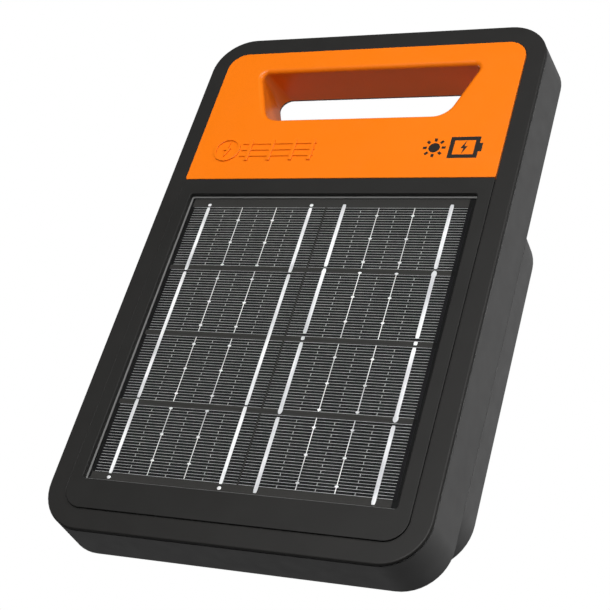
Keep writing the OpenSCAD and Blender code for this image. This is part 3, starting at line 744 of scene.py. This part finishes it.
def tray_shell():
    def wall(d=0, y=0):
        share = (y - TRAY_Y) / (TRAY_BACK - TRAY_Y)
        o = [a + (b - a) * share for a, b in zip(RIM, TRAY_REAR)]
        return rounded(o)(d)

    groove, opening = rounded(inset(COVER, GROOVE_IN)), rounded(TRAY_OPENING)
    ledge, ledge_back = rounded(inset(RIM, LEDGE_IN)), LEDGE_Y + LEDGE_T
    solid = Solid()
    skin = solid.loft([(wall(WALL, WALL_Y), WALL_Y), (wall(WALL, ledge_back), ledge_back),
                       (ledge(), ledge_back), (ledge(), LEDGE_Y), (wall(WALL, LEDGE_Y), LEDGE_Y),
                       (wall(WALL, TRAY_Y), TRAY_Y)]
                      + edge(wall, TRAY_Y, TRAY_EDGE)[::-1]
                      + [(wall(0, y), y) for y in (9, 15, 20)]
                      + edge(wall, TRAY_BACK, TRAY_EDGE, -1))
    hole = solid.loft([(hand(-SLEEVE_WALL, y), y) for y in (WALL_Y, SLEEVE_END)]
                      + [(hand(0, SLEEVE_END), SLEEVE_END)] + edge(hand, TRAY_BACK, 0.5, -1, hole=True))
    inner = solid.loft([(groove(), TRAY_BACK), (groove(), TRAY_BACK - GROOVE_DEEP),
                        (groove(GROOVE_W), TRAY_BACK - GROOVE_DEEP), (groove(GROOVE_W), TRAY_BACK)])
    mouth = solid.loft([(opening(), TRAY_BACK), (opening(), WALL_Y)])
    solid.flat(skin[-1], hole[-1], inner[0])
    solid.flat(inner[-1], mouth[0])
    solid.flat(skin[0], hole[0], mouth[-1])
    tray = solid.object()
    combine(tray, [rod(x, z, BOSS_R, WALL_Y - 12, WALL_Y + 0.5) for x, z in COVER_SCREWS], "UNION")
    combine(tray, [rod(x, z, CLEAR_R, WALL_Y - 1, TRAY_BACK + 1) for x, z in CASE_SCREWS + PANEL_SCREWS]
            + [rod(x, z, PILOT_R, WALL_Y - 13, TRAY_BACK + 1) for x, z in COVER_SCREWS], "DIFFERENCE")
    show(tray, "tray_case", "case", "case_plastic", ["tray_shell"])


def rear_cover():
    outer, inner = rounded(COVER), rounded(inset(COVER, COVER_WALL))
    solid = Solid()
    skin = solid.loft([(outer(), TRAY_BACK)] + edge(outer, COVER_BACK, COVER_EDGE, -1, steps=6))
    hollow = solid.loft([(inner(), TRAY_BACK), (inner(), COVER_IN)])
    solid.faces += [skin[-1], hollow[-1][::-1]]
    solid.bridge(skin[0], hollow[0])
    cover = solid.object()
    block = Solid()
    rings = block.loft([(outer(COVER_GAP), TRAY_BACK + 0.01)]
                       + edge(rounded(inset(COVER, COVER_GAP)), COVER_BACK - COVER_GAP, COVER_EDGE, -1))
    block.faces += [rings[0], rings[-1]]
    limit = block.object()

    bosses = []
    for x, z in COVER_SCREWS:
        side = math.copysign(1, x)
        bosses.append(rod(x, z, 5, TRAY_BACK + 0.01, COVER_IN + 1))
        near, far = sorted((x, side * 91))
        bosses.append(block_of(near, far, TRAY_BACK + 0.01, COVER_IN + 0.5, z - 3, z + 3))
    bosses += [rod(x, z, 5.5, 34.5, COVER_BACK - 1) for x, z in INSERTS]
    bosses += [rod(x, z, 3, 32.8, (COVER_IN if x < -20 else CHANNEL_IN) + 1) for x, z in BOARD_SCREWS]
    bosses.append(block_of(-CHANNEL_OUT, CHANNEL_OUT, CHANNEL_IN, COVER_BACK - 1,
                           CHANNEL_LOW, CHANNEL_HIGH))
    for x in (-TERMINAL_X, TERMINAL_X):
        bay = Solid()
        bay.prism(bay_outline(x, BAY_R + 2.5), BAY_Y - 2.5, COVER_BACK)
        bosses.append(bay.object())
    inside = combine(bosses[0], bosses[1:], "UNION")
    combine(inside, [limit], "INTERSECT")
    combine(cover, [inside] + cover_marks(), "UNION")

    cutters = [channel_cutter()]
    for x in (-TERMINAL_X, TERMINAL_X):
        bay = Solid()
        sections = [(bay_outline(x, BAY_R), BAY_Y), (bay_outline(x, BAY_R), COVER_BACK - 1)]
        for k in range(1, 6):
            a = math.pi / 2 * k / 5
            sections.append((bay_outline(x, BAY_R + 1 - math.cos(a)), COVER_BACK - 1 + math.sin(a)))
        rings = bay.loft(sections + [(bay_outline(x, BAY_R + 1), COVER_BACK + 2)])
        bay.faces += [rings[0], rings[-1]]
        cutters += [bay.object(), rod(x, TERMINAL_Z, TERMINAL_BORE_R, BAY_Y - 4, BAY_Y + 1)]
    for x, z in COVER_SCREWS:
        hole = Solid()
        hole.lathe([(0, TRAY_BACK - 1), (CLEAR_R, TRAY_BACK - 1), (CLEAR_R, COVER_SEAT),
                    (HEAD_BORE_R, COVER_SEAT), (HEAD_BORE_R, COVER_BACK - 0.4), (3.5, COVER_BACK - 0.12),
                    (3.8, COVER_BACK), (3.8, COVER_BACK + 1), (0, COVER_BACK + 1)], x, z)
        cutters.append(hole.object())
    cutters += [rod(x, z, 3.5, COVER_BACK - 8, COVER_BACK + 1) for x, z in INSERTS]
    cutters += [rod(x, z, 1.25, 31.8, 36.5) for x, z in BOARD_SCREWS]
    dish = Solid()
    dish.lathe([(0, -93), (7.6, -93), (7.6, -91.8), (7.2, -91.6), (7.0, -91.2), (7.0, -91.0),
                (5.55, -91.0), (5.55, -80), (0, -80)], SIDE_Y, BUTTON_Z, along="x")
    cutters += [dish.object(), side_rod(2.5, -93, -80, LENS_Z)]
    vent = Solid()
    circle = arc(0, VENT_Y, VENT_R, 0, 351, 39)
    low, high = (vent.path([(x, y, z) for x, y in circle]) for z in (15.3, 19.9))
    vent.bridge(low, high)
    vent.faces += [low, high[::-1]]
    cutters.append(vent.object())
    combine(cover, cutters, "DIFFERENCE")
    show(cover, "rear_housing", "case", "cover_plastic", ["rear_cover"])


def bay_outline(x, r):
    """An arch round a terminal, open below the case."""
    return arc(x, TERMINAL_Z, r, 0, 180, 36) + [(x - r, 4), (x + r, 4)]


def channel_cutter():
    """The post channel, with eased mouth edges and floor corners."""
    half, deep, r = CHANNEL_HALF, 38.1, 1.2
    right = [(half - 1, deep), (half - 0.3, deep + 0.3), (half, deep + 1), (half, COVER_BACK - r)]
    right += [(half + r * (1 - math.cos(a)), COVER_BACK - r + r * math.sin(a))
              for a in [math.pi / 2 * k / 5 for k in range(1, 6)]]
    right.append((half + r, COVER_BACK + 2))
    section = right + [(-x, y) for x, y in reversed(right)]
    solid = Solid()
    low, high = (solid.path([(x, y, z) for x, y in section]) for z in (10, 200))
    solid.bridge(low, high)
    solid.faces += [low, high[::-1]]
    return solid.object()


def cover_marks():
    """Generic raised pictograms over the two terminals: a charge mark, and an earth mark."""
    raised, sunk, z = COVER_BACK + 0.5, COVER_BACK - 0.8, 66
    x = -TERMINAL_X
    earth = [bar(x - 0.5, z, x + 0.5, z + 5), bar(x - 4.5, z - 0.9, x + 4.5, z + 0.1),
             bar(x - 2.9, z - 2.9, x + 2.9, z - 1.9), bar(x - 1.3, z - 4.9, x + 1.3, z - 3.9)]
    return [relief([f], sunk, raised, 0.15) for f in [bolt(TERMINAL_X, z, 5.4)] + earth]


# ---- Terminals, button, lens, screws ----

def terminal(name, x, knob_slot):
    grip, clamp = name + "_grip", name + "_clamp"
    stud = Solid()
    turns, pitch, y0, y1 = 24, 1.0, 27.6, 41.0
    rings = []
    steps = round((y1 - y0) / pitch * 6)
    for k in range(steps + 1):
        y = y0 + (y1 - y0) * k / steps
        ring = []
        for i in range(turns):
            phase = (y / pitch - i / turns) % 1
            depth = 0.32 * (1 - abs(2 * phase - 1))
            r = min(STUD_R - depth, 2.75 + (y1 - y) * 0.6, STUD_R if y > BAY_Y + 0.2 else 2.98)
            a = math.tau * i / turns
            ring.append((x + r * math.cos(a), y, TERMINAL_Z + r * math.sin(a)))
        rings.append(stud.path(ring))
    for a, b in zip(rings, rings[1:]):
        stud.bridge(a, b)
    stud.faces += [rings[0], rings[-1][::-1]]
    shank = stud.object()
    head = Solid()
    hexagon = arc(x, TERMINAL_Z, 5.8, 0, 300, 5)
    small = [(x + (a - x) * 0.9, TERMINAL_Z + (b - TERMINAL_Z) * 0.9) for a, b in hexagon]
    rings = head.loft([(small, 22.5), (hexagon, 23.0), (hexagon, 26.5)])
    head.faces += [rings[0], rings[-1]]
    combine(shank, [head.object(), rod(x, TERMINAL_Z, 2.9, 25, 28)], "UNION")
    show(shank, name + "_threaded_stud", "case", "stud_steel", [name + "_stud"], angle=50)

    washer = Solid()
    washer.lathe([(3.05, 30.3), (7.8, 30.3), (8, 30.5), (8, 31.1), (7.8, 31.3), (5.15, 31.3), (5, 31.45),
                  (5, 33.15), (4.85, 33.3), (3.25, 33.3), (3.05, 33.1)],
                 x, TERMINAL_Z, closed=True, steps=64)
    show(washer.object(), name + "_clamp_washer", clamp, "stud_steel", [name + "_washer"])

    def flutes(a, y):
        """How deep the finger grooves are at an angle and depth."""
        depth = min(1, max(0, (y - 33.1) / 0.9))
        return 1.05 * depth * max(0, math.cos(FLUTES * a)) ** 1.6 if y > 33 else 0

    outer = [(5.05, 31.6), (9.3, 31.6), (9.8, 31.8), (10, 32.3), (10, 33.1), (10, 33.4), (10, 33.7),
             (9.95, 34), (9.95, 38), (9.9, 41.6), (9.75, 42.4), (9.35, 43.0), (8.8, 43.3), (8.2, 43.4)]
    dished = [(5.6, 43.4), (5.2, 43.3), (5.0, 42.95), (4.8, 42.8), (2.0, 42.8), (1.7, 43.1), (0, 43.15)]
    bore = [(5.05, 33.6), (3.05, 33.6), (3.05, 41.8), (0, 41.8)]
    knob = Solid()
    knob.lathe(outer, x, TERMINAL_Z, steps=KNOB_STEPS, wave=flutes)
    first = list(range(KNOB_STEPS))
    last = [len(knob.points) - KNOB_STEPS + i for i in first]
    for ring, profile in ((last, dished), (first, bore)):
        start = len(knob.points)
        knob.lathe(profile, x, TERMINAL_Z, steps=KNOB_STEPS)
        knob.bridge(ring, [start + i for i in first])
    show(knob.object(), name + "_fluted_knob", grip, knob_slot, [name + "_knob"], angle=40)


def power_button():
    solid = Solid()
    solid.lathe([(0, -91.25), (3.6, -91.3), (4.6, -91.4), (5.2, -91.3), (5.5, -90.9), (5.5, -88.85),
                 (7, -88.85), (7, -87.6), (2.5, -87.6), (2.5, -78.4), (2.3, -78.2), (0, -78.2)],
                SIDE_Y, BUTTON_Z, along="x", steps=64)
    button = solid.object()
    ring = [(SIDE_Y + a, BUTTON_Z + b) for a, b in arc(0, 0, 2.5, 120, 300, 30)]
    ring += [(SIDE_Y + a, BUTTON_Z + b) for a, b in reversed(arc(0, 0, 1.9, 120, 300, 30))]
    icon = Solid()
    for loop in (ring, bar(SIDE_Y - 0.3, BUTTON_Z + 0.4, SIDE_Y + 0.3, BUTTON_Z + 3.1)):
        low, high = (icon.path([(x, y, z) for y, z in loop]) for x in (-91.5, -90.6))
        icon.bridge(low, high)
        icon.flat(low)
        icon.flat(high)
    combine(button, [icon.object()], "UNION")
    show(button, "power_button_cap", "button", "orange_button", ["power_button"])


def status_lens():
    solid = Solid()
    solid.lathe([(0, -92.0), (0.9, -91.95), (1.7, -91.8), (2.3, -91.6), (2.5, -91.4), (2.5, -89.2),
                 (3.4, -89.2), (3.4, -88), (2.5, -88), (2.5, -79.2), (2.3, -79), (0, -79)],
                SIDE_Y, LENS_Z, along="x", steps=40)
    show(solid.object(), "status_light_pipe", "case", "lens_clear", ["status_lens"])


def screws(name, places, seat, length, node):
    """Cross-slotted screws, each turned differently, as one piece."""
    made = []
    for k, (x, z) in enumerate(places):
        solid = Solid()
        profile = [(0, seat + 2.2), (1.4, seat + 2.17), (2.3, seat + 1.95), (2.8, seat + 1.5),
                   (3, seat + 0.9), (3, seat + 0.15), (2.85, seat), (1.5, seat),
                   (1.5, seat - length + 1.2), (0.6, seat - length), (0, seat - length)]
        solid.lathe(profile, x, z, steps=32)
        screw = solid.object()
        turn = math.radians(17 + 61 * k)
        slots = []
        for a in (turn, turn + math.pi / 2):
            u, v = (math.cos(a), math.sin(a)), (-math.sin(a), math.cos(a))
            slot = Solid()
            rings = []
            for y, half, width in ((seat + 0.9, 0.9, 0.25), (seat + 3, 1.9, 0.42)):
                corners = [(half * s, width * t) for s, t in ((-1, -1), (1, -1), (1, 1), (-1, 1))]
                rings.append(slot.path([(x + u[0] * s + v[0] * t, y, z + u[1] * s + v[1] * t)
                                        for s, t in corners]))
            slot.bridge(*rings)
            slot.faces += [rings[0], rings[1][::-1]]
            slots.append(slot.object())
        made.append(combine(screw, slots, "DIFFERENCE"))
    show(join(name, made), name, "case", "screw_steel", [node])


# ---- Nodes kept from the CAD ----

def kept_nodes():
    """Gives every CAD node that still shows its finish."""
    for name, node in frame["nodes"].items():
        if node.hide_render:
            continue
        node.data.materials.clear()
        node.data.materials.append(MATERIALS[slot_of[name]])


# ---- Stage ----

AIM = (0, 0, 0.14)
FLOOR_HALF, FLOOR_Z = 3000, -0.2
FLOOR_GLOW, GLOW_SHARE = 1.05, 0.7      # the floor's own even light, and its share of the floor

# The camera of the photo: place from the plates' front face, directions right and up, lens, film width
CAMERA_X, CAMERA_Y, CAMERA_Z = 0.27615, -0.4784, -0.19293
CAMERA_RIGHT, CAMERA_UP = (0.90361, 0.33846, 0.26256), (-0.03227, -0.55741, 0.82961)
CAMERA_LENS, CAMERA_FILM = 83.35, 36


def lamp(name, place, size, power):
    """A round soft light aimed at the middle of the object, itself unseen."""
    data = bpy.data.lights.new(name, "AREA")
    data.shape, data.size, data.energy = "DISK", size, power
    made = bpy.data.objects.new(name, data)
    bpy.context.scene.collection.objects.link(made)
    made.location = place
    made.rotation_euler = (Vector(AIM) - Vector(place)).to_track_quat("-Z", "Y").to_euler()
    made.visible_camera = False


# Lamps: place, width, power
LAMPS = {
    "key": ((0.4, -1.8, 0.75), 0.8, 18.0),
    "edge": ((1.55, -0.87, 1.15), 0.4, 11.0),
    "front": ((0.25, -1.55, 0.0), 0.9, 20.5),
    "back": ((-1.0, 1.8, 1.2), 0.9, 18.0),
    "left": ((-1.9, 0.5, 0.3), 0.9, 9.0),
}

# Soft light from behind: direction, how narrow, strength
GLOWS = {
    "right_back_up": ((0.43, 0.76, 0.49), 4, 0.82),
    "left_back_down": ((-0.43, 0.76, -0.49), 8, 0.4),
    "right_back_down": ((0.4, 0.86, -0.32), 10, 0.35),
}


def stage():
    scene = bpy.context.scene
    scene.view_settings.view_transform = "Standard"
    for name, (place, size, power) in LAMPS.items():
        lamp(name, place, size, power)

    # The floor is one-sided, since the photo's camera looks up from below it
    sheet = Solid()
    corners = bar(-FLOOR_HALF, -FLOOR_HALF, FLOOR_HALF, FLOOR_HALF)
    sheet.faces.append(sheet.path([(x, y, FLOOR_Z) for x, y in corners]))
    ground = bpy.data.objects.new("floor", sheet.mesh("floor"))
    scene.collection.objects.link(ground)
    p = Paint("floor")
    tint = p.ramp(p.noise(120, 3), [(0.3, (0.80, 0.80, 0.80)), (0.7, (0.84, 0.84, 0.84))])
    matte = p.add("BsdfDiffuse", {"Color": tint})
    even = p.add("Emission", {"Color": tint, "Strength": FLOOR_GLOW})
    paper = p.add("MixShader", {0: GLOW_SHARE, 1: matte.outputs[0], 2: even.outputs[0]})
    clear = p.add("BsdfTransparent")
    back = p.add("NewGeometry").outputs["Backfacing"]
    one_sided = p.add("MixShader", {0: back, 1: paper.outputs[0], 2: clear.outputs[0]})
    p.add("OutputMaterial", {"Surface": one_sided.outputs[0]})
    ground.data.materials.append(p.material)
    ground.visible_diffuse = ground.visible_glossy = False
    ground.visible_transmission = ground.visible_shadow = False

    # White to the camera; the object is lit by the soft glows
    world = bpy.data.worlds.new("studio")
    scene.world = world
    world.use_nodes = True
    tree = world.node_tree
    tree.nodes.clear()
    place = tree.nodes.new("ShaderNodeTexCoord").outputs["Generated"]
    total = None
    for name, (direction, sharpness, strength) in GLOWS.items():
        facing = tree.nodes.new("ShaderNodeVectorMath")
        facing.operation = "DOT_PRODUCT"
        tree.links.new(place, facing.inputs[0])
        facing.inputs[1].default_value = Vector(direction).normalized()
        value = facing.outputs["Value"]
        for operation, second in (("MAXIMUM", 0.0), ("POWER", sharpness), ("MULTIPLY", strength)):
            step = tree.nodes.new("ShaderNodeMath")
            step.operation, step.name = operation, f"{name} {operation}"
            tree.links.new(value, step.inputs[0])
            step.inputs[1].default_value = second
            value = step.outputs[0]
        if total is not None:
            step = tree.nodes.new("ShaderNodeMath")
            tree.links.new(total, step.inputs[0])
            tree.links.new(value, step.inputs[1])
            value = step.outputs[0]
        total = value
    light = tree.nodes.new("ShaderNodeBackground")
    tree.links.new(total, light.inputs[1])
    backdrop = tree.nodes.new("ShaderNodeBackground")
    backdrop.inputs[0].default_value = (1, 1, 1, 1)
    mix = tree.nodes.new("ShaderNodeMixShader")
    tree.links.new(tree.nodes.new("ShaderNodeLightPath").outputs["Is Camera Ray"], mix.inputs[0])
    tree.links.new(light.outputs[0], mix.inputs[1])
    tree.links.new(backdrop.outputs[0], mix.inputs[2])
    tree.links.new(mix.outputs[0], tree.nodes.new("ShaderNodeOutputWorld").inputs[0])

    camera = bpy.data.objects.new("camera", bpy.data.cameras.new("camera"))
    scene.collection.objects.link(camera)
    camera.data.lens, camera.data.sensor_width = CAMERA_LENS, CAMERA_FILM
    camera.data.clip_start, camera.data.clip_end = 0.02, 20
    right, up = Vector(CAMERA_RIGHT), Vector(CAMERA_UP)
    turn = Matrix((right, up, right.cross(up))).transposed()
    camera.matrix_world = Matrix.Translation((CAMERA_X, CAMERA_Y + FRONT, CAMERA_Z)) @ turn.to_4x4()
    scene.camera = camera


front_frame()
handle_panel()
printed_mark()
solar_bezel()
solar_panel()
tray_shell()
rear_cover()
terminal("fence", TERMINAL_X, "red_knob")
terminal("earth", -TERMINAL_X, "green_knob")
power_button()
status_lens()
screws("cover_screw_set", COVER_SCREWS, COVER_SEAT, LONG_SCREW, "cover_screws")
screws("case_screw_set", CASE_SCREWS, TRAY_BACK, LONG_SCREW, "case_screws")
screws("panel_screw_set", PANEL_SCREWS, TRAY_BACK, SHORT_SCREW, "panel_screws")
kept_nodes()
stage()
